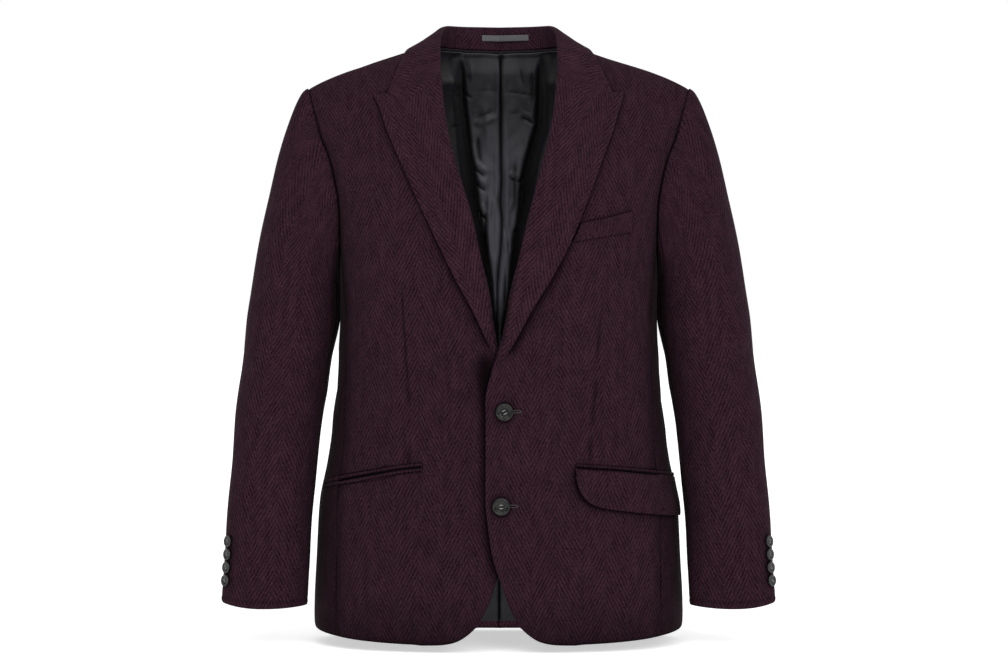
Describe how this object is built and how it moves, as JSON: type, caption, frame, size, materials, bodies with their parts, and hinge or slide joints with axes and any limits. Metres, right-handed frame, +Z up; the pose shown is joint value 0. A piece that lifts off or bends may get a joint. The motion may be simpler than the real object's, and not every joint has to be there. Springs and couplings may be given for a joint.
{
  "type": "jacket",
  "caption": "Hollow, filled-out single-breasted tailored jacket with peak lapels, a breast welt, hip pockets and buttoned cuffs, as worn with no wearer.",
  "frame": {"origin": "between the shoulders, on the centre line and level with the middle of the shoulder seams, where the wearer holds the jacket up", "axes": "+Z up to the collar, -Y the front, +X the wearer's left"},
  "size_m": [0.669, 0.2467, 0.7543],
  "materials": {
    "cloth": "soft burgundy and black herringbone wool with a slight nap",
    "satin": "dark grey satin lining with a low sheen",
    "horn": "dark grey mottled buttons, polished",
    "tape": "plain grey woven tape"
  },
  "bodies": {
    "root": {"front_left": "cloth", "front_right": "cloth", "side_left": "cloth", "side_right": "cloth", "back_left": "cloth", "back_right": "cloth", "lapel_left": "cloth", "lapel_right": "cloth", "collar": "cloth", "top_sleeve_left": "cloth", "top_sleeve_right": "cloth", "under_sleeve_left": "cloth", "under_sleeve_right": "cloth", "breast_welt": "cloth", "hip_jet_right_upper": "cloth", "hip_jet_right_lower": "cloth", "hip_jet_left": "cloth", "hip_flap_left": "cloth", "lining_back_left": "satin", "lining_back_right": "satin", "lining_side_left": "satin", "lining_side_right": "satin", "hanger_loop": "tape", "front_button_upper": "horn", "front_button_lower": "horn", "cuff_button_left_1": "horn", "cuff_button_left_2": "horn", "cuff_button_left_3": "horn", "cuff_button_left_4": "horn", "cuff_button_right_1": "horn", "cuff_button_right_2": "horn", "cuff_button_right_3": "horn", "cuff_button_right_4": "horn"}
  },
  "joints": []
}
